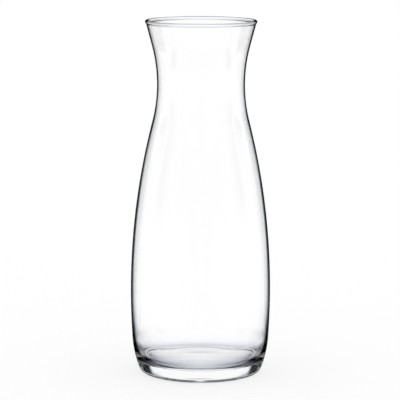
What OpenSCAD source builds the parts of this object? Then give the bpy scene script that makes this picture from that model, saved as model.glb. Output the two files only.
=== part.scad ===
// Open glass carafe, blown in one piece: thick base, full belly, long shoulder, narrow neck and flared rim.
// It stands on z = 0, its axis is Z, and every stretch of its wall is an arc that leaves the last one smoothly.
// The five nodes are the zones of one glass. They meet face to face on level planes and share no volume.

/* [Outside] */
// Height from the table to the top of the rim
height = 250; // [235:1:275]
// Outside diameter at the belly, the widest place
belly_d = 98.8; // [90:0.1:110]
// Height of the widest place
belly_z = 58; // [46:1:66]
// Outside diameter at the neck, the narrowest place
neck_d = 61.7; // [54:0.1:68]
// Height of the flare, from the narrowest place up to the top of the rim
flare_h = 45; // [38:1:54]
// Radius of the flare's curve in side view, from the neck up to the straight stretch below the rim
flare_curve_r = 105; // [90:1:120]
// Outside diameter of the rim
rim_d = 78.5; // [74:0.1:86]
// Share of the rise from belly to neck that bulges out, the rest curving in
shoulder_share = 0.82; // [0.7:0.01:0.9]

/* [Foot] */
// Height at which the belly's curve tightens into the heel
heel_z = 25; // [20:1:30]
// Radius of the heel's curve in side view
heel_arc_r = 75; // [60:1:120]
// Radius of the round edge between the heel and the standing ring
foot_edge_r = 5.5; // [4:0.5:8]
// Width of the flat ring that the carafe stands on
ring_w = 2.5; // [2:0.5:5]
// Height of the hollow under the middle of the base
push_up = 0.5; // [0.3:0.1:2]

/* [Wall] */
// Thickness of the wall at the belly
belly_wall = 1.6; // [1.4:0.1:2.4]
// Thickness of the wall at the neck
neck_wall = 1.3; // [1.2:0.1:2.2]
// Thickness of the wall just below the rim's bead
lip_wall = 1.7; // [1.4:0.1:2.2]
// Thickness of the round, fire-polished bead at the rim
bead_d = 2.6; // [2.3:0.1:3.4]
// Length of wall over which the lip swells into the bead
swell_l = 1.6; // [1:0.1:3]
// Height of the floor inside, above the table
floor_z = 9.5; // [8:0.5:12]
// Width of the rounded corner between the wall and the floor inside
floor_corner_w = 4; // [3:0.5:6]
// Fullness of that corner's curve: 2 is a quarter of an ellipse, and less fills the corner with more glass
corner_power = 1.6; // [1.4:0.1:2.4]

/* [Zones] */
// Height at which the belly ends and the shoulder begins
shoulder_z = 110; // [90:1:130]
// Height of the lip zone, measured down from the top of the rim
lip_h = 12; // [8:1:16]

/* [Hidden] */
clear_glass = [0.90, 0.94, 0.95, 0.45];
$fn = 128;

// Level steps in a stretch of wall, and steps in a small round edge
wall_steps = 14;
edge_steps = 10;
lip_steps = 20;

belly_r = belly_d / 2;
neck_r = neck_d / 2;
rim_r = rim_d / 2;
belly_in_r = belly_r - belly_wall;
neck_in_r = neck_r - neck_wall;
// Height of the narrowest place
neck_z = height - flare_h;
// The bulging and the hollow arc of the shoulder meet at this height
collar_z = belly_z + shoulder_share * (neck_z - belly_z);
lip_z = height - lip_h;

// Radius of the rim's bead, its centre in the half section, and how much thicker it is than the lip on each side
bead_r = bead_d / 2;
bead = [rim_r - bead_r, height - bead_r];
lip_r = lip_wall / 2;
swell = bead_r - lip_r;

// Two arcs, upright at both ends and tangent where they meet, have radii that add up to this
function arc_sum(from_r, to_r) = (pow(from_r - to_r, 2) + pow(neck_z - belly_z, 2)) / (2 * (from_r - to_r));

// Radius at height z of the two arcs that run from the belly, at from_r, to the neck, at to_r
function shoulder_r(z, from_r, to_r) =
    let (bulge = shoulder_share * arc_sum(from_r, to_r), hollow = arc_sum(from_r, to_r) - bulge)
    z < collar_z ? from_r - bulge + sqrt(pow(bulge, 2) - pow(z - belly_z, 2))
                 : to_r + hollow - sqrt(pow(hollow, 2) - pow(z - neck_z, 2));

// Radius of the arc that stands upright at the neck, at start_r, and touches one side of a circle as thick as the
// lip, about the bead's centre. side is 1 on the outside and -1 on the inside
function touch_arc_r(start_r, side) =
    let (out = bead[0] + side * lip_r - start_r, up = bead[1] - neck_z)
    (pow(out - side * lip_r, 2) + pow(up, 2) - pow(lip_r, 2)) / (2 * out);

// Radius of the flare's curve on one side. Both sides have one centre, unless the rim is too wide for such a curve
function flare_arc_r(start_r, side) = min(flare_curve_r + neck_r - start_r, touch_arc_r(start_r, side));

// Lean from upright of the straight stretch that leaves that curve smoothly and touches the circle in the bead
function lip_lean(start_r, side) =
    let (arc = flare_arc_r(start_r, side), out = start_r + arc - bead[0], up = bead[1] - neck_z)
    atan2(up, out) - acos(min(1, (arc + side * lip_r) / norm([out, up])));

// Radius at height z on the curve and the straight stretch above it
function flare_r(z, start_r, side) =
    let (
        arc = flare_arc_r(start_r, side),
        lean = lip_lean(start_r, side),
        curve_z = min(z, neck_z + arc * sin(lean))
    )
    start_r + arc - sqrt(pow(arc, 2) - pow(curve_z - neck_z, 2)) + (z - curve_z) * tan(lean);

// Height at which one side of the lip reaches the bead
function lip_top_z(start_r, side) = bead[1] - side * lip_r * sin(lip_lean(start_r, side));

// Point of the lip at height z on the flare, moved out of the wall where it swells before the bead
function lip_point(start_r, side, z) =
    let (
        high = lip_lean(start_r, side),
        lean = min(high, asin((z - neck_z) / flare_arc_r(start_r, side))),
        to_go = (lip_top_z(start_r, side) - z) / cos(high),
        near = max(0, 1 - to_go / swell_l),
        push = side * swell * pow(near, 2) * (3 - 2 * near)
    )
    [flare_r(z, start_r, side) + push * cos(lean), z - push * sin(lean)];

// One side of the lip from lip_z to the bead, in steps that crowd towards the bead
function lip_side(start_r, side) =
    let (top = lip_top_z(start_r, side))
    concat(
        [[flare_r(lip_z, start_r, side), lip_z]],
        [for (i = [1 : lip_steps]) lip_point(start_r, side, top - (top - lip_z) * pow(1 - i / lip_steps, 2))]
    );

// The heel's arc carries on from the belly's, with its centre on the same normal
belly_arc_r = shoulder_share * arc_sum(belly_r, neck_r);
heel_lean = asin((belly_z - heel_z) / belly_arc_r);
heel_top_r = belly_r - belly_arc_r * (1 - cos(heel_lean));
heel = [heel_top_r - heel_arc_r * cos(heel_lean), heel_z + heel_arc_r * sin(heel_lean)];

// The round edge touches the heel's arc and the table, and ends where the standing ring begins
foot_edge = [
    heel[0] + sqrt(pow(heel_arc_r - foot_edge_r, 2) - pow(heel[1] - foot_edge_r, 2)),
    foot_edge_r
];
foot_lean = asin((heel[1] - foot_edge_r) / (heel_arc_r - foot_edge_r));
foot_top_z = foot_edge_r * (1 - sin(foot_lean));
ring_in_r = foot_edge[0] - ring_w;

// Outside radius at height z, above the foot's round edge
function outer_r(z) =
    z > neck_z ? flare_r(z, neck_r, 1)
    : z > heel_z ? shoulder_r(z, belly_r, neck_r)
    : heel[0] + sqrt(pow(heel_arc_r, 2) - pow(heel[1] - z, 2));

// Share of the floor corner's width that the glass takes up at height z: all at the floor, nothing at the heel
function corner_share(z) =
    let (down = (heel_z - z) / (heel_z - floor_z))
    1 - pow(max(0, 1 - pow(down, corner_power)), 1 / corner_power);

// Wall of even thickness below the heel, where the inside follows the outside
function heel_in_r(z) = outer_r(z) - (outer_r(heel_z) - shoulder_r(heel_z, belly_in_r, neck_in_r));

// Inside radius at height z, above the floor
function inner_r(z) =
    z > neck_z ? flare_r(z, neck_in_r, -1)
    : z >= heel_z ? shoulder_r(z, belly_in_r, neck_in_r)
    : heel_in_r(z) - floor_corner_w * corner_share(z);

// Height of the hollow under the base at radius r
function push_up_z(r) = push_up * (1 + cos(180 * r / ring_in_r)) / 2;

// Heights from low to high in even steps
function levels(low, high) = [for (i = [0 : wall_steps]) low + (high - low) * i / wall_steps];

// Points of the outside from low to high, and of the inside from high to low
function outside(low, high) = [for (z = levels(low, high)) [outer_r(z), z]];
function inside(low, high) = [for (z = levels(-high, -low)) [inner_r(-z), -z]];

// Points on an arc about a centre, between two angles
function arc(centre, r, from, to) = [
    for (i = [0 : edge_steps])
        let (a = from + (to - from) * i / edge_steps) centre + r * [cos(a), sin(a)]
];

// A ring of wall between two levels
module wall_zone(low, high) {
    color(clear_glass) rotate_extrude() polygon(concat(outside(low, high), inside(low, high)));
}

// Thick floor, standing ring and heel
module base() {
    hollow = [for (i = [0 : wall_steps]) let (r = ring_in_r * i / wall_steps) [r, push_up_z(r)]];
    round_edge = arc(foot_edge, foot_edge_r, -90, -foot_lean);
    heel_side = [for (z = levels(foot_top_z, heel_z)) if (z > foot_top_z) [outer_r(z), z]];
    // Steps that crowd towards the floor, where the corner turns fastest
    corner = [
        for (i = [0 : wall_steps])
            let (z = heel_z - (heel_z - floor_z) * sin(90 * i / wall_steps)) [inner_r(z), z]
    ];
    color(clear_glass) rotate_extrude() polygon(concat(hollow, round_edge, heel_side, corner, [[0, floor_z]]));
}

module belly() {
    wall_zone(heel_z, shoulder_z);
}

module shoulder() {
    wall_zone(shoulder_z, collar_z);
}

module neck() {
    wall_zone(collar_z, lip_z);
}

// The last of the flare and its round, fire-polished bead
module rim() {
    lip_out = lip_side(neck_r, 1);
    lip_in = lip_side(neck_in_r, -1);
    bead_turn = arc(bead, bead_r, -lip_lean(neck_r, 1), 180 - lip_lean(neck_in_r, -1));
    // The first point of the bead's turn is the last of the lip's outside, and its last that of the inside
    bead_top = [for (i = [1 : edge_steps - 1]) bead_turn[i]];
    lip_down = [for (i = [-lip_steps : 0]) lip_in[-i]];
    color(clear_glass) rotate_extrude() polygon(concat(lip_out, bead_top, lip_down));
}

base();
belly();
shoulder();
neck();
rim();
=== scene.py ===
"""An open glass carafe: one unbroken blown glass, its clear finish and the plain white studio round it."""

import logging
import math
from dataclasses import dataclass, field
from enum import Enum
from typing import Any

import bpy
import numpy as np
from mathutils import Matrix, Vector

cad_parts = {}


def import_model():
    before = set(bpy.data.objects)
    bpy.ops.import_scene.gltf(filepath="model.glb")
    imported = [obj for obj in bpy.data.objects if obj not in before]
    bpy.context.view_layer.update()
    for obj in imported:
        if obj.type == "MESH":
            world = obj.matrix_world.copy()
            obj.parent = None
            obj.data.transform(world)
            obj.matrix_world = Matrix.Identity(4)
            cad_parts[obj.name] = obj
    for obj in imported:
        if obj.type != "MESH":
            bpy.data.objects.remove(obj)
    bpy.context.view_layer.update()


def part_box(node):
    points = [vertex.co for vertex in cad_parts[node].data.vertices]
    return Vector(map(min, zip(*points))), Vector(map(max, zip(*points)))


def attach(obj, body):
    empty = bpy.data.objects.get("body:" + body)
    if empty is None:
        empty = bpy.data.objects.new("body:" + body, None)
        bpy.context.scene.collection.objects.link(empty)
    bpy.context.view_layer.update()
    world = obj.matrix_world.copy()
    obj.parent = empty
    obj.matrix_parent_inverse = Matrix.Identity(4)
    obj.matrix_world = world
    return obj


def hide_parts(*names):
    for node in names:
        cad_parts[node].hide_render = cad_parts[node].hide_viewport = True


LOG = logging.getLogger("carafe")
MM = 0.001
DEGREES = math.degrees(1)
HALF_TURN = 180.0
WHITE = (1.0, 1.0, 1.0, 1.0)


class Face(Enum):
    """Which face of the wall a curve belongs to. Its value is the way out of the glass, along the radius."""

    OUTSIDE = 1
    INSIDE = -1


class Signal:
    """The value on a socket in shader maths. Each operator adds one Math node to the socket's tree."""

    def __init__(self, graph: "Graph", socket: bpy.types.NodeSocket) -> None:
        """Keeps the tree and the socket."""
        self.graph = graph
        self.socket = socket

    def math(self, operation: str, *others: Any) -> "Signal":
        """Applies a Math node to this value.

        Args:
            operation: name of the Math node's operation.
            others: the values or signals of its other inputs, in order.

        Returns:
            The result as a new signal.
        """
        return self.graph.math(operation, self, *others)

    def __add__(self, other: Any) -> "Signal":
        """Sum."""
        return self.math("ADD", other)

    def __radd__(self, other: Any) -> "Signal":
        """Sum, with the number first."""
        return self.graph.math("ADD", other, self)

    def __sub__(self, other: Any) -> "Signal":
        """Difference."""
        return self.math("SUBTRACT", other)

    def __rsub__(self, other: Any) -> "Signal":
        """Difference, with the number first."""
        return self.graph.math("SUBTRACT", other, self)

    def __mul__(self, other: Any) -> "Signal":
        """Product."""
        return self.math("MULTIPLY", other)

    def __rmul__(self, other: Any) -> "Signal":
        """Product, with the number first."""
        return self.graph.math("MULTIPLY", other, self)

    def __pow__(self, other: Any) -> "Signal":
        """Power."""
        return self.math("POWER", other)

    def __rpow__(self, other: Any) -> "Signal":
        """Power, with the number first."""
        return self.graph.math("POWER", other, self)


class Graph:
    """A node tree of a material or a world, with its nodes made by one method."""

    def __init__(self, owner: bpy.types.ID) -> None:
        """Turns on the owner's nodes and clears them.

        Args:
            owner: the material or world whose tree this is.
        """
        owner.use_nodes = True
        self.tree = owner.node_tree
        self.tree.nodes.clear()

    def node(self, kind: str, settings: dict[str, Any], inputs: dict[str | int, Any]) -> bpy.types.Node:
        """Adds one node.

        Args:
            kind: Blender's type name of the node.
            settings: properties to set before the sockets, such as a Math node's operation.
            inputs: for each input socket, by name or number, its value, signal or output socket.

        Returns:
            The new node.
        """
        made = self.tree.nodes.new(kind)
        for name, value in settings.items():
            setattr(made, name, value)
        for name, value in inputs.items():
            source = value.socket if isinstance(value, Signal) else value
            if isinstance(source, bpy.types.NodeSocket):
                self.tree.links.new(source, made.inputs[name])
            else:
                made.inputs[name].default_value = source
        return made

    def signal(self, node: bpy.types.Node, output: str | int = 0) -> Signal:
        """Gives one output of a node as a signal."""
        return Signal(self, node.outputs[output])

    def math(self, operation: str, *values: Any) -> Signal:
        """Adds a Math node.

        Args:
            operation: name of the operation.
            values: its inputs in order, as numbers or signals.

        Returns:
            The result as a signal.
        """
        return self.signal(self.node("ShaderNodeMath", {"operation": operation}, dict(enumerate(values))))

    def fade(self, value: Signal, start: float, end: float) -> Signal:
        """Gives a smooth step that is 0 up to start and 1 from end.

        Args:
            value: the signal to look at.
            start: where the step begins.
            end: where it is complete. It may be below start, and the step then falls.

        Returns:
            The step as a signal.
        """
        settings = {"interpolation_type": "SMOOTHSTEP", "clamp": True}
        sockets = {"Value": value, "From Min": start, "From Max": end, "To Min": 0.0, "To Max": 1.0}
        return self.signal(self.node("ShaderNodeMapRange", settings, sockets))

    def finish(self, output: str, inputs: dict[str, Any]) -> None:
        """Adds the tree's output node and links the shaders into it."""
        self.node(output, {}, inputs)


def rows(radius: np.ndarray, height: np.ndarray) -> np.ndarray:
    """Points of a half section as rows of radius and height."""
    return np.stack([radius, height], axis=1)


def arc_points(
    centre: tuple[float, float], radius: float, start: float, end: float, count: int
) -> np.ndarray:
    """Points on an arc: its centre plus its radius times the cosine and sine of each angle.

    Args:
        centre: radius and height of the arc's centre in the half section.
        radius: the arc's own radius.
        start: angle of the first point above level, in radians.
        end: angle of the last point.
        count: number of points.

    Returns:
        Rows of radius and height.
    """
    angle = np.linspace(start, end, count)
    return rows(np.cos(angle), np.sin(angle)) * radius + centre


@dataclass
class HalfSection:
    """The carafe's half section, in metres, in which every stretch leaves the one before it smoothly.

    The sizes without a value come from the frame, and the others are those that no zone's box shows. The
    counts say how many points a stretch has. The last fields are worked out from the sizes.
    """

    height: float
    belly_r: float
    rim_r: float
    heel_z: float
    collar_z: float
    belly_z: float = 58 * MM
    neck_r: float = 30.85 * MM
    flare_h: float = 45 * MM
    flare_curve_r: float = 105 * MM
    heel_arc_r: float = 75 * MM
    foot_edge_r: float = 5.5 * MM
    ring_w: float = 2.5 * MM
    push_up: float = 0.5 * MM
    belly_wall: float = 1.6 * MM
    neck_wall: float = 1.3 * MM
    lip_wall: float = 1.7 * MM
    bead_d: float = 2.6 * MM
    lip_h: float = 12 * MM
    swell_l: float = 1.6 * MM
    floor_z: float = 9.5 * MM
    floor_corner_w: float = 4 * MM
    corner_power: float = 1.6
    hollow_count: int = 28
    edge_count: int = 18
    heel_count: int = 16
    wall_count: int = 80
    lip_count: int = 30
    bead_count: int = 26
    corner_count: int = 30
    floor_count: int = 12
    neck_z: float = field(init=False)
    lip_z: float = field(init=False)
    belly_in_r: float = field(init=False)
    neck_in_r: float = field(init=False)
    bead_r: float = field(init=False)
    bead: tuple[float, float] = field(init=False)
    heel: tuple[float, float] = field(init=False)
    foot_edge: tuple[float, float] = field(init=False)
    foot_lean: float = field(init=False)

    def __post_init__(self) -> None:
        """Works out the heights, the inside radii and the centres of the bead, the heel and the foot's edge.

        The heel's centre lies on the line through the belly arc's centre and the point where they meet. The
        foot edge's circle touches the heel's arc from inside and the table from above, and its lean is the
        angle below level at which it meets the heel.
        """
        self.neck_z = self.height - self.flare_h
        self.lip_z = self.height - self.lip_h
        self.belly_in_r = self.belly_r - self.belly_wall
        self.neck_in_r = self.neck_r - self.neck_wall
        self.bead_r = self.bead_d / 2
        self.bead = (self.rim_r - self.bead_r, self.height - self.bead_r)
        belly_arc_r = self.shoulder_share * self.arc_sum(self.belly_r, self.neck_r)
        lean = math.asin((self.belly_z - self.heel_z) / belly_arc_r)
        heel_top_r = self.belly_r - belly_arc_r * (1 - math.cos(lean))
        self.heel = (
            heel_top_r - self.heel_arc_r * math.cos(lean),
            self.heel_z + self.heel_arc_r * math.sin(lean),
        )
        reach = self.heel_arc_r - self.foot_edge_r
        drop = self.heel[1] - self.foot_edge_r
        self.foot_edge = (self.heel[0] + math.sqrt(reach**2 - drop**2), self.foot_edge_r)
        self.foot_lean = math.asin(drop / reach)

    @property
    def shoulder_share(self) -> float:
        """Share of the rise from belly to neck that bulges out."""
        return (self.collar_z - self.belly_z) / (self.neck_z - self.belly_z)

    def arc_sum(self, low_r: float, high_r: float) -> float:
        """Sum of the radii of two arcs, upright at both ends and tangent where they meet.

        The sum is the square of the distance between the ends over twice the change in radius.
        """
        across = low_r - high_r
        return (across**2 + (self.neck_z - self.belly_z) ** 2) / (2 * across)

    def shoulder_at(self, z: np.ndarray, low_r: float, high_r: float) -> np.ndarray:
        """Radius at height z on the two arcs from the belly to the neck.

        Below the collar it is the belly's radius less what a circle falls away from its tangent, and above it
        the neck's radius plus that. Each arc is worked out at every height, so its root is held at 0 past its
        end.

        Args:
            z: heights.
            low_r: radius at the belly.
            high_r: radius at the neck.

        Returns:
            The radii.
        """
        bulge = self.shoulder_share * self.arc_sum(low_r, high_r)
        hollow = self.arc_sum(low_r, high_r) - bulge
        full = low_r - bulge + np.sqrt(np.maximum(bulge**2 - (z - self.belly_z) ** 2, 0))
        waist = high_r + hollow - np.sqrt(np.maximum(hollow**2 - (z - self.neck_z) ** 2, 0))
        return np.where(z < self.collar_z, full, waist)

    def flare_arc_r(self, start_r: float) -> float:
        """Radius of the flare's curve on the side that starts at start_r. Both sides have one centre."""
        return self.flare_curve_r + self.neck_r - start_r

    def lip_lean(self, start_r: float, face: Face) -> float:
        """Lean from upright of the straight stretch between that curve and the bead.

        The stretch leaves the curve smoothly and touches a circle in the bead that is as thick as the lip.
        Its lean is the slope of the line between the two centres, less the angle whose cosine is the sum of
        the radii (on the inside their difference) over that line's length.

        Args:
            start_r: radius of that side at the neck.
            face: which side it is.

        Returns:
            The lean in radians.
        """
        arc_r = self.flare_arc_r(start_r)
        out, up = start_r + arc_r - self.bead[0], self.bead[1] - self.neck_z
        return math.atan2(up, out) - math.acos((arc_r + face.value * self.lip_wall / 2) / math.hypot(out, up))

    def flare_at(self, z: np.ndarray, start_r: float, face: Face) -> np.ndarray:
        """Radius at height z on the flare.

        It is the neck's radius plus what the curve's circle has left its upright tangent by, and above the
        curve's end also the further rise times the tangent of the lean.

        Args:
            z: heights.
            start_r: radius of that side at the neck.
            face: which side it is.

        Returns:
            The radii.
        """
        arc_r, lean = self.flare_arc_r(start_r), self.lip_lean(start_r, face)
        rise = z - self.neck_z
        curved = np.minimum(rise, arc_r * math.sin(lean))
        curve = start_r + arc_r - np.sqrt(np.maximum(arc_r**2 - curved**2, 0))
        return curve + (rise - curved) * math.tan(lean)

    def lip_side(self, start_r: float, face: Face) -> np.ndarray:
        """One side of the lip from its foot up to the bead.

        It follows the flare's straight stretch in steps that crowd towards the bead. Just before the bead it
        moves off the line by a smooth step, three squares less two cubes of the share gone, so that the lip
        swells into the bead.

        Args:
            start_r: radius of that side at the neck.
            face: which side it is.

        Returns:
            Rows of radius and height.
        """
        lean = self.lip_lean(start_r, face)
        top = self.bead[1] - face.value * self.lip_wall / 2 * math.sin(lean)
        z = top - (top - self.lip_z) * (1 - np.linspace(0, 1, self.lip_count)) ** 2
        gone = np.maximum(0, 1 - (top - z) / math.cos(lean) / self.swell_l)
        push = face.value * (self.bead_d - self.lip_wall) / 2 * gone**2 * (3 - 2 * gone)
        return rows(self.flare_at(z, start_r, face) + push * math.cos(lean), z - push * math.sin(lean))

    def outer_at(self, z: np.ndarray) -> np.ndarray:
        """Outside radius at height z, above the foot's round edge.

        Below the heel's top it is the radius of the heel's centre plus the level reach of its arc.

        Args:
            z: heights.

        Returns:
            The radii.
        """
        low = self.heel[0] + np.sqrt(np.maximum(self.heel_arc_r**2 - (self.heel[1] - z) ** 2, 0))
        middle = self.shoulder_at(z, self.belly_r, self.neck_r)
        high = self.flare_at(z, self.neck_r, Face.OUTSIDE)
        return np.where(z > self.neck_z, high, np.where(z > self.heel_z, middle, low))

    def inner_at(self, z: np.ndarray) -> np.ndarray:
        """Inside radius at height z, above the floor.

        Below the heel's top it is the outside less an even wall, and less the curve that rounds the corner
        between the wall and the floor: the quarter of an oval whose two shares, each raised to the corner's
        power, add up to 1.

        Args:
            z: heights.

        Returns:
            The radii.
        """
        middle = self.shoulder_at(z, self.belly_in_r, self.neck_in_r)
        high = self.flare_at(z, self.neck_in_r, Face.INSIDE)
        top = np.array(self.heel_z)
        heel_out_r = self.shoulder_at(top, self.belly_r, self.neck_r)
        heel_wall = heel_out_r - self.shoulder_at(top, self.belly_in_r, self.neck_in_r)
        down = np.clip((self.heel_z - z) / (self.heel_z - self.floor_z), 0, 1)
        share = 1 - (1 - down**self.corner_power) ** (1 / self.corner_power)
        low = self.outer_at(z) - heel_wall - self.floor_corner_w * share
        return np.where(z > self.neck_z, high, np.where(z >= self.heel_z, middle, low))

    def hollow(self) -> np.ndarray:
        """Points of the hollow under the base: half a cosine wave from the axis to the standing ring.

        Returns:
            Rows of radius and height.
        """
        ring_in_r = self.foot_edge[0] - self.ring_w
        radius = np.linspace(0, ring_in_r, self.hollow_count)
        return rows(radius, self.push_up * (1 + np.cos(math.pi * radius / ring_in_r)) / 2)

    def bead_turn(self) -> np.ndarray:
        """Points of the bead over its top, between the two sides of the lip.

        Returns:
            Rows of radius and height, without the ends, which the lip's sides have.
        """
        start = -self.lip_lean(self.neck_r, Face.OUTSIDE)
        end = math.pi - self.lip_lean(self.neck_in_r, Face.INSIDE)
        return arc_points(self.bead, self.bead_r, start, end, self.bead_count)[1:-1]

    def outline(self) -> np.ndarray:
        """Points of the half section from the axis under the base, round the glass, to the axis on the floor.

        Returns:
            Rows of radius and height. The first and last lie on the axis.
        """
        start, end = -math.pi / 2, -self.foot_lean
        edge = arc_points(self.foot_edge, self.foot_edge_r, start, end, self.edge_count)
        heel_z = np.linspace(edge[-1, 1], self.heel_z, self.heel_count)[1:]
        rise_z = np.linspace(self.heel_z, self.lip_z, self.wall_count)[1:-1]
        fall_z = np.linspace(self.lip_z, self.heel_z, self.wall_count)[1:]
        # Steps that crowd towards the floor, where the corner turns fastest
        corner_share = np.sin(np.linspace(0, math.pi / 2, self.corner_count)[1:])
        corner_z = self.heel_z - (self.heel_z - self.floor_z) * corner_share
        up = np.concatenate([heel_z, rise_z])
        down = np.concatenate([fall_z, corner_z])
        inside = self.inner_at(down)
        floor_r = np.linspace(inside[-1], 0, self.floor_count)[1:]
        return np.concatenate([
            self.hollow(),
            edge,
            rows(self.outer_at(up), up),
            self.lip_side(self.neck_r, Face.OUTSIDE),
            self.bead_turn(),
            self.lip_side(self.neck_in_r, Face.INSIDE)[::-1],
            rows(inside, down),
            rows(floor_r, np.full_like(floor_r, self.floor_z)),
        ])


@dataclass(frozen=True)
class Grain:
    """A noise over the glass: how fine it is, how many finer layers it has and how strong each of them is."""

    scale: float
    detail: float
    strength: float

    def over(self, graph: Graph, place: bpy.types.NodeSocket) -> Signal:
        """Adds the noise to a tree.

        Args:
            graph: the tree.
            place: the object's own coordinates.

        Returns:
            The noise's value as a signal.
        """
        sockets = {"Vector": place, "Scale": self.scale, "Detail": self.detail, "Roughness": self.strength}
        return graph.signal(graph.node("ShaderNodeTexNoise", {"noise_dimensions": "3D"}, sockets))


@dataclass(frozen=True)
class ClearGlass:
    """Colourless soda-lime glass, fire-polished, with the faint unevenness of blowing.

    Attributes:
        name: the material's name.
        ior: the glass's index of refraction.
        depth_tint: colour that a great depth of the glass takes on.
        depth_density: how fast it takes it on, per metre.
        film: the noise of the faint film that dulls the glass in places.
        film_from: value of that noise at which the film begins.
        film_to: value at which it is full.
        film_roughness: roughness of the glass under the full film.
        ripple: the noise of the fine relief.
        ripple_height: height of the relief, in metres.
        trapped_after: number of reflections above which light counts as trapped.
        let_out_below: height in metres below which trapped light is let out, a little above the heel.
        let_out: share of the trapped light that is let out.
    """

    name: str = "clear_glass"
    ior: float = 1.52
    depth_tint: tuple[float, float, float, float] = (0.80, 0.84, 0.86, 1.0)
    depth_density: float = 0.5
    film: Grain = Grain(60.0, 3.0, 0.6)
    film_from: float = 0.45
    film_to: float = 0.75
    film_roughness: float = 0.012
    ripple: Grain = Grain(45.0, 1.0, 0.4)
    ripple_height: float = 0.02 * MM
    trapped_after: float = 3.5
    let_out_below: float = 40 * MM
    let_out: tuple[float, float, float, float] = (0.35, 0.35, 0.35, 1.0)

    def polished(self, graph: Graph, place: bpy.types.NodeSocket) -> bpy.types.NodeSocket:
        """Makes the polished glass, uneven by the film and the ripple.

        Args:
            graph: the material's tree.
            place: the object's own coordinates.

        Returns:
            The shader's socket.
        """
        relief = graph.node(
            "ShaderNodeBump",
            {},
            {"Strength": 1.0, "Distance": self.ripple_height, "Height": self.ripple.over(graph, place)},
        )
        filmed = graph.fade(self.film.over(graph, place), self.film_from, self.film_to)
        glass = graph.node(
            "ShaderNodeBsdfPrincipled",
            {"distribution": "MULTI_GGX"},
            {
                "Base Color": WHITE,
                "Roughness": filmed * self.film_roughness,
                "IOR": self.ior,
                "Transmission Weight": 1.0,
                "Normal": relief.outputs["Normal"],
            },
        )
        return glass.outputs["BSDF"]

    def build(self) -> bpy.types.Material:
        """Makes the material.

        Returns:
            The material. In the base and the heel, light that has been reflected often is let out straight,
            where it would otherwise be lost to the renderer's limit and leave the base black.
        """
        material = bpy.data.materials.new(self.name)
        graph = Graph(material)
        place = graph.node("ShaderNodeTexCoord", {}, {}).outputs["Object"]
        rays = graph.node("ShaderNodeLightPath", {}, {})
        parts = graph.node("ShaderNodeSeparateXYZ", {}, {"Vector": place})
        low = graph.math("LESS_THAN", graph.signal(parts, "Z"), self.let_out_below)
        trapped = graph.math("GREATER_THAN", graph.signal(rays, "Glossy Depth"), self.trapped_after)
        let_out = graph.node("ShaderNodeBsdfTransparent", {}, {"Color": self.let_out})
        both = graph.node(
            "ShaderNodeMixShader",
            {},
            {"Fac": low * trapped, 1: self.polished(graph, place), 2: let_out.outputs["BSDF"]},
        )
        depth = graph.node(
            "ShaderNodeVolumeAbsorption",
            {},
            {"Color": self.depth_tint, "Density": self.depth_density},
        )
        graph.finish(
            "ShaderNodeOutputMaterial",
            {"Surface": both.outputs["Shader"], "Volume": depth.outputs["Volume"]},
        )
        return material


@dataclass
class Carafe:
    """The one blown glass, turned from its half section. It stands for all the zones of the frame."""

    section: HalfSection
    finish: ClearGlass
    zones: tuple[str, ...] = ("base", "belly", "shoulder", "neck", "rim")
    turns: int = 240

    def mesh(self) -> bpy.types.Mesh:
        """Turns the half section about Z.

        A point of the section at radius r and height z becomes a ring of points (r cos a, r sin a, z), with
        the angle a in even steps. The two ends lie on the axis and close the mesh as poles.

        Returns:
            A closed mesh with its faces outward.
        """
        outline = self.section.outline()
        rings = outline[1:-1]
        count, turns = len(rings), self.turns
        angle = np.arange(turns) * 2 * math.pi / turns
        points = np.empty((count, turns, 3))
        points[..., 0] = rings[:, :1] * np.cos(angle)
        points[..., 1] = rings[:, :1] * np.sin(angle)
        points[..., 2] = rings[:, 1:]
        poles = np.array([[0, 0, outline[0, 1]], [0, 0, outline[-1, 1]]])
        vertices = np.concatenate([points.reshape(-1, 3), poles])
        here = np.arange(turns)
        after = (here + 1) % turns
        low = np.arange(count - 1)[:, None] * turns
        high = low + turns
        quads = np.stack([low + here, low + after, high + after, high + here], axis=-1).reshape(-1, 4)
        under, floor = count * turns, count * turns + 1
        last = (count - 1) * turns
        fans = np.concatenate([
            np.stack([np.full(turns, under), after, here], axis=1),
            np.stack([np.full(turns, floor), last + here, last + after], axis=1),
        ])
        mesh = bpy.data.meshes.new("carafe_glass")
        mesh.from_pydata(vertices.tolist(), [], quads.tolist() + fans.tolist())
        mesh.shade_smooth()
        mesh.update()
        return mesh

    def build(self) -> bpy.types.Object:
        """Makes the glass, dresses it and puts it in place of the frame's zones.

        Returns:
            The glass.
        """
        glass = bpy.data.objects.new("carafe_glass", self.mesh())
        bpy.context.scene.collection.objects.link(glass)
        glass.data.materials.append(self.finish.build())
        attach(glass, "root")
        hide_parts(*self.zones)
        return glass


@dataclass(frozen=True)
class Edge:
    """One soft edge of a card, in degrees.

    Attributes:
        at: angle of its middle.
        soft: half the width over which the card fades.
        lean: how far the edge moves for each degree above level.
    """

    at: float
    soft: float = 2.0
    lean: float = 0.0

    def inside(self, graph: Graph, angle: Signal, height: Signal, way: int) -> Signal:
        """Gives 1 well on the card's side of the edge and 0 well outside.

        Args:
            graph: the tree to add the nodes to.
            angle: the angle that the edge bounds.
            height: the angle above level, along which the edge may lean.
            way: 1 where the card lies above the edge's angle, and -1 where it lies below.

        Returns:
            The smooth step as a signal.
        """
        along = angle - height * self.lean if self.lean else angle
        return graph.fade(along, self.at - way * self.soft, self.at + way * self.soft)


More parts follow.
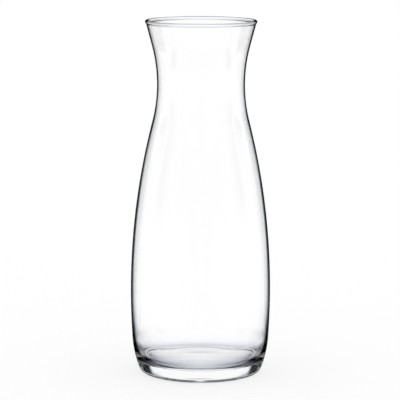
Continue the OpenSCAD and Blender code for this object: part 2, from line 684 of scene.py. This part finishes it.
@dataclass(frozen=True)
class Card:
    """A soft-edged dark card or shaded part of the room, alike on both sides of its own bearing.

    Attributes:
        name: what it is. Its last node carries the name as a label.
        bottom: its lower edge above level, if it has one.
        top: its upper edge.
        inner: its edge towards its own bearing, counted from there to either side.
        outer: its edge away from there.
        dark: share of the light that it takes away where it is full.
        bearing: its own bearing, seen from above. 0 is straight behind the carafe in the photograph.
    """

    name: str
    bottom: Edge | None = None
    top: Edge | None = None
    inner: Edge | None = None
    outer: Edge | None = None
    dark: float = 1.0
    bearing: float = 0.0

    def cover(self, graph: Graph, aside: Signal, height: Signal) -> Signal:
        """Share of the light that the card takes away in a direction.

        Args:
            graph: the tree to add the nodes to.
            aside: angle of the direction from the card's own bearing, to either side.
            height: angle of the direction above level.

        Returns:
            The share as a signal: the product of the card's darkness and the smooth steps of its edges.
        """
        cover: Any = self.dark
        for edge, angle, way in (
            (self.bottom, height, 1),
            (self.top, height, -1),
            (self.inner, aside, 1),
            (self.outer, aside, -1),
        ):
            if edge is not None:
                cover = edge.inside(graph, angle, height, way) * cover
        cover.socket.node.label = self.name
        return cover


@dataclass(frozen=True)
class Passage:
    """What the glass did to a ray on its way to the room, in signals that are 0 or 1.

    Attributes:
        through: the ray was never mirrored.
        both_walls: the same, and it passed through two walls of the glass.
        outside: it was mirrored and never bent, so it shows what the outside of the glass mirrors.
        within: it was mirrored and bent.
    """

    through: Signal
    both_walls: Signal
    outside: Signal
    within: Signal

    @classmethod
    def read(cls, graph: Graph, rays: bpy.types.Node) -> "Passage":
        """Reads a ray's passage from its numbers of reflections and refractions.

        Args:
            graph: the tree to add the nodes to.
            rays: the Light Path node.

        Returns:
            The passage. Each wall bends a ray twice, once on the way in and once on the way out.
        """
        bends_in_both = 4
        bends = graph.signal(rays, "Transmission Depth")
        through = 1 - graph.math("MINIMUM", graph.signal(rays, "Glossy Depth"), 1.0)
        within = (1 - through) * graph.math("MINIMUM", bends, 1.0)
        both_walls = through * graph.math("GREATER_THAN", bends, bends_in_both - 0.5)
        return cls(through, both_walls, 1 - through - within, within)


@dataclass
class Surround:
    """What the glass shows of the room: white all round, with dark cards beside the ground behind the glass.

    The camera and the floor see plain white everywhere. The cards give the clear glass its dark edges, as
    they do when glass is photographed in front of a white ground.

    Attributes:
        room: the cards that light of every passage shows, apart from what it is spared.
        mirrored: the card that only light mirrored on the outside shows.
        doubled: the card that only light mirrored within the glass shows.
        sides: the cards for the other sides. Only light that was never mirrored shows them, so that they
            leave no reflection on the glass.
        mouth: the part of the ground that shows behind the mouth from the side. There, light that was never
            mirrored is spared the room's cards.
        clear_above: above this edge, unmirrored light through both walls is spared the room's cards.
        clear_aside: beyond this edge to either side, such light is spared them as well.
        mirrored_above: above this edge, light mirrored on the outside is spared the room's cards.
        green: power of the light that gives its green, a little below 1, so that shade is cooler than white.
        blue: the same for its blue.
        table_below: edge of the table, below which the room's light is faintly cool.
        table_red: share of the table's red light that is missing.
        table_green: the same for its green.
    """

    room: tuple[Card, ...] = (
        Card(
            "beside the ground, far",
            bottom=Edge(-15.0, 0.5), top=Edge(-1.0, 6.0),
            inner=Edge(15.0, 1.7, 0.2), outer=Edge(33.3, 5.2, 0.47), dark=0.91,
        ),
        Card(
            "beside the ground, middle",
            bottom=Edge(-26.6, 6.0), top=Edge(-12.2, 1.1),
            inner=Edge(9.8, 4.7, 0.24), outer=Edge(14.0, 4.8, -1.65),
        ),
        Card(
            "beside the ground, near",
            bottom=Edge(-41.5, 0.5), top=Edge(-23.2, 2.4),
            inner=Edge(22.7, 2.2, -0.35), outer=Edge(68.8, 9.8, -0.45),
        ),
        Card(
            "across the ground",
            bottom=Edge(-35.0, 2.7), top=Edge(-26.8, 3.5),
            inner=Edge(0.3, 4.7, -0.18), outer=Edge(28.5, 9.0, 0.2),
        ),
        Card(
            "grey floor outside",
            bottom=Edge(-24.0, 2.6), top=Edge(3.2, 0.5),
            inner=Edge(27.7, 6.3, -0.83), outer=Edge(62.4, 0.5, 1.4), dark=0.32,
        ),
        Card(
            "wing, high",
            bottom=Edge(8.2, 0.5), top=Edge(23.9, 0.5),
            inner=Edge(44.1, 3.5, -0.2), outer=Edge(70.5, 5.0, 0.24),
        ),
        Card(
            "wing, low",
            bottom=Edge(5.2, 0.5), top=Edge(8.3, 0.5),
            inner=Edge(22.1, 0.5, 0.14), outer=Edge(46.0, 0.5, 1.0),
        ),
        Card(
            "upper wall",
            bottom=Edge(19.9, 3.8),
            inner=Edge(5.6, 1.0, 0.63), outer=Edge(92.0, 25.0), dark=0.87,
        ),
        Card(
            "ceiling",
            bottom=Edge(25.7, 2.0),
            outer=Edge(92.0, 25.0), dark=0.8,
        ),
        Card(
            "foot of the upper wall",
            bottom=Edge(15.2, 2.0), top=Edge(20.2, 6.2),
            inner=Edge(1.1, 7.0, -0.56), outer=Edge(41.3, 0.5), dark=0.7,
        ),
        Card(
            "horizon",
            bottom=Edge(-2.4, 0.8), top=Edge(6.5, 0.4),
            inner=Edge(2.5, 2.1, 0.15), outer=Edge(34.0, 11.7, 1.5),
        ),
        Card(
            "table in front",
            top=Edge(-35.8, 1.3),
            outer=Edge(76.0, 16.5, 1.1), dark=0.47,
        ),
        Card(
            "middle of the table",
            bottom=Edge(-54.0, 0.5), top=Edge(-22.8, 3.3),
            outer=Edge(0.9, 1.0, -0.17), dark=0.27,
        ),
        Card(
            "strip at the side",
            bottom=Edge(1.6, 3.0), top=Edge(16.2, 4.0),
            inner=Edge(88.4, 4.0, 0.68), outer=Edge(104.0, 10.0, 0.63), dark=0.97,
        ),
    )
    mirrored: Card = Card("mirrored ground", outer=Edge(32.4, 4.4, -0.32))
    doubled: Card = Card(
        "ground mirrored in the wall",
        bottom=Edge(-16.0), top=Edge(0.0),
        inner=Edge(4.0), outer=Edge(24.0, 3.0, 0.6), dark=0.95,
    )
    sides: tuple[Card, ...] = (
        Card(
            "strip for the side view",
            bottom=Edge(-33.0, 3.0), top=Edge(-17.0),
            inner=Edge(12.0, 3.0), outer=Edge(28.0, 4.0), bearing=-45.0,
        ),
        Card(
            "strip for the level view",
            bottom=Edge(-14.0, 3.0), top=Edge(8.0, 3.0),
            inner=Edge(12.0, 3.0), outer=Edge(28.0, 4.0), bearing=-90.0,
        ),
        Card(
            "strip for the back view",
            bottom=Edge(-24.0, 3.0), top=Edge(-7.0, 3.0),
            inner=Edge(12.0, 3.0), outer=Edge(28.0, 4.0), bearing=135.0,
        ),
    )
    mouth: Card = Card(
        "ground behind the mouth, from the side",
        bottom=Edge(-40.0), top=Edge(-12.0),
        outer=Edge(12.0), bearing=-45.0,
    )
    clear_above: Edge = Edge(-10.0)
    clear_aside: Edge = Edge(20.0, 3.0)
    mirrored_above: Edge = Edge(-12.0, 1.0)
    green: float = 0.96
    blue: float = 0.88
    table_below: Edge = Edge(-19.0, 3.0)
    table_red: float = 0.05
    table_green: float = 0.04

    def turned(self, graph: Graph, card: Card, bearing: Signal, height: Signal) -> Signal:
        """Share of the light that a card with a bearing of its own takes away in a direction.

        Args:
            graph: the tree to add the nodes to.
            card: the card.
            bearing: bearing of the direction.
            height: angle of the direction above level.

        Returns:
            The share as a signal.
        """
        off = graph.math("WRAP", bearing - card.bearing, HALF_TURN, -HALF_TURN)
        return card.cover(graph, graph.math("ABSOLUTE", off), height)

    def spared(self, graph: Graph, bearing: Signal, height: Signal, passage: Passage) -> Signal:
        """Share of the shade of the room's cards that a ray is spared, so that the glass stays clear.

        Args:
            graph: the tree to add the nodes to.
            bearing: bearing of the direction.
            height: angle of the direction above level.
            passage: what the glass did to the ray.

        Returns:
            The share as a signal: the largest of what the ray's passage and direction spare it.
        """
        aside = graph.math("ABSOLUTE", bearing)
        above = self.clear_above.inside(graph, height, height, 1)
        beside = self.clear_aside.inside(graph, aside, height, 1)
        through = graph.math("MAXIMUM", above, beside) * passage.both_walls
        mirrored = self.mirrored_above.inside(graph, height, height, 1) * passage.outside
        mouth = self.turned(graph, self.mouth, bearing, height) * passage.through
        return graph.math("MAXIMUM", graph.math("MAXIMUM", through, mirrored), mouth)

    def colour(self, graph: Graph, way: bpy.types.NodeSocket, passage: Passage) -> bpy.types.NodeSocket:
        """Colour of the room in a direction.

        Args:
            graph: the tree to add the nodes to.
            way: the direction, a vector of length 1.
            passage: what the glass did to the ray.

        Returns:
            The colour's socket. Shaded parts are a little cooler than white, and so is the table.
        """
        parts = graph.node("ShaderNodeSeparateXYZ", {}, {"Vector": way})
        east, north, up = (graph.signal(parts, axis) for axis in ("X", "Y", "Z"))
        bearing = graph.math("ARCTAN2", east, north) * DEGREES
        height = graph.math("ARCSINE", up) * DEGREES
        aside = graph.math("ABSOLUTE", bearing)
        spared = self.spared(graph, bearing, height, passage)
        light = math.prod(1 - card.cover(graph, aside, height) for card in self.room)
        light = 1 - (1 - light) * (1 - spared)
        shown = [(card, passage.through) for card in self.sides]
        shown += [(self.mirrored, passage.outside), (self.doubled, passage.within)]
        for card, share in shown:
            light = light * (1 - self.turned(graph, card, bearing, height) * share)
        table = self.table_below.inside(graph, height, height, -1) * (1 - spared)
        mixed = graph.node(
            "ShaderNodeCombineColor",
            {"mode": "RGB"},
            {
                "Red": light * (1 - table * self.table_red),
                "Green": light**self.green * (1 - table * self.table_green),
                "Blue": light**self.blue,
            },
        )
        return mixed.outputs["Color"]


@dataclass
class Studio:
    """Plain white floor, white surround and the camera at the photograph's viewing angle, in metres.

    The focal length is in pixels of the frame, and the sensor's width in millimetres.
    """

    surround: Surround
    floor_half: float = 4.0
    floor_albedo: float = 0.3
    camera_back: float = 1.6
    camera_z: float = 0.3647
    camera_tilt: float = math.radians(8.594)
    camera_yaw: float = math.radians(0.0175)
    camera_roll: float = math.radians(0.157)
    frame_px: int = 400
    focal_px: float = 2293.0
    sensor_w: float = 36.0
    nearest: float = 0.05
    farthest: float = 50.0

    def world(self) -> bpy.types.World:
        """Lights the scene: white to the camera and the floor, the surround to the glass.

        Returns:
            The world, set as the scene's.
        """
        world = bpy.data.worlds.new("studio")
        graph = Graph(world)
        rays = graph.node("ShaderNodeLightPath", {}, {})
        way = graph.node("ShaderNodeTexCoord", {}, {}).outputs["Generated"]
        room = self.surround.colour(graph, way, Passage.read(graph, rays))
        seen = graph.node(
            "ShaderNodeMix",
            {"data_type": "RGBA"},
            {"Factor": self.by_glass(graph, rays), "A": WHITE, "B": room},
        )
        sky = graph.node("ShaderNodeBackground", {}, {"Color": seen.outputs["Result"], "Strength": 1.0})
        graph.finish("ShaderNodeOutputWorld", {"Surface": sky.outputs["Background"]})
        bpy.context.scene.world = world
        return world

    def by_glass(self, graph: Graph, rays: bpy.types.Node) -> Signal:
        """Gives 1 for light that the glass bends or mirrors on its way to the camera, and 0 for the rest."""
        depth = graph.signal(rays, "Transmission Depth") + graph.signal(rays, "Glossy Depth")
        return graph.math("MINIMUM", depth, 1.0)

    def floor_finish(self) -> bpy.types.Material:
        """Makes the floor's material.

        Returns:
            The material. It is white to the camera and part of it is lit, so that the glass keeps a faint
            shadow there. To the glass it is clear, so that the glass shows the room's table in its place.
        """
        material = bpy.data.materials.new("studio_floor")
        graph = Graph(material)
        rays = graph.node("ShaderNodeLightPath", {}, {})
        albedo = self.floor_albedo
        lit = graph.node("ShaderNodeBsdfDiffuse", {}, {"Color": (albedo, albedo, albedo, 1)})
        glow = graph.node("ShaderNodeEmission", {}, {"Color": WHITE, "Strength": 1 - albedo})
        seen = graph.node("ShaderNodeAddShader", {}, {0: lit.outputs["BSDF"], 1: glow.outputs["Emission"]})
        clear = graph.node("ShaderNodeBsdfTransparent", {}, {"Color": WHITE})
        both = graph.node(
            "ShaderNodeMixShader",
            {},
            {"Fac": self.by_glass(graph, rays), 1: seen.outputs["Shader"], 2: clear.outputs["BSDF"]},
        )
        graph.finish("ShaderNodeOutputMaterial", {"Surface": both.outputs["Shader"]})
        return material

    def floor(self) -> bpy.types.Object:
        """Makes the floor, the level square that the carafe stands on.

        Returns:
            The floor, which is attached to no body.
        """
        half = self.floor_half
        corners = [(-half, -half, 0), (half, -half, 0), (half, half, 0), (-half, half, 0)]
        mesh = bpy.data.meshes.new("studio_floor")
        mesh.from_pydata(corners, [], [(0, 1, 2, 3)])
        floor = bpy.data.objects.new("studio_floor", mesh)
        bpy.context.scene.collection.objects.link(floor)
        mesh.materials.append(self.floor_finish())
        return floor

    def camera(self) -> bpy.types.Object:
        """Makes the camera, a long lens somewhat higher than the rim that looks slightly down.

        Returns:
            The camera, set as the scene's.
        """
        lens = bpy.data.cameras.new("camera")
        lens.sensor_width = self.sensor_w
        lens.lens = self.sensor_w * self.focal_px / self.frame_px
        lens.clip_start = self.nearest
        lens.clip_end = self.farthest
        camera = bpy.data.objects.new("camera", lens)
        yaw = Matrix.Rotation(self.camera_yaw, 4, "Z")
        tilt = Matrix.Rotation(math.pi / 2 - self.camera_tilt, 4, "X")
        roll = Matrix.Rotation(self.camera_roll, 4, "Z")
        place = Matrix.Translation(Vector((0, -self.camera_back, self.camera_z)))
        camera.matrix_world = place @ yaw @ tilt @ roll
        bpy.context.scene.collection.objects.link(camera)
        bpy.context.scene.camera = camera
        return camera

    def build(self) -> tuple[bpy.types.ID, ...]:
        """Sets the plain view transform and makes the studio.

        Returns:
            The world, the floor and the camera.
        """
        bpy.context.scene.view_settings.view_transform = "Standard"
        return self.world(), self.floor(), self.camera()


def section_from_frame() -> HalfSection:
    """Reads the carafe's main sizes from the frame's zones.

    Returns:
        The half section, with the sizes that no zone's box shows at their own values.
    """
    belly_low, belly_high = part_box("belly")
    neck_low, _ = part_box("neck")
    _, rim_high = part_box("rim")
    return HalfSection(
        height=rim_high.z,
        belly_r=belly_high.x,
        rim_r=rim_high.x,
        heel_z=belly_low.z,
        collar_z=neck_low.z,
    )


def main() -> None:
    """Builds the carafe in the frame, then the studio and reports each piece."""
    logging.basicConfig(level=logging.INFO, format="%(name)s: %(message)s")
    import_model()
    section = section_from_frame()
    glass = Carafe(section, ClearGlass()).build()
    LOG.info("%s: %d points, %d faces", glass.name, len(glass.data.vertices), len(glass.data.polygons))
    for piece in Studio(Surround()).build():
        LOG.info("%s: %s of the studio", piece.name, type(piece).__name__)


if __name__ == "__main__":
    main()
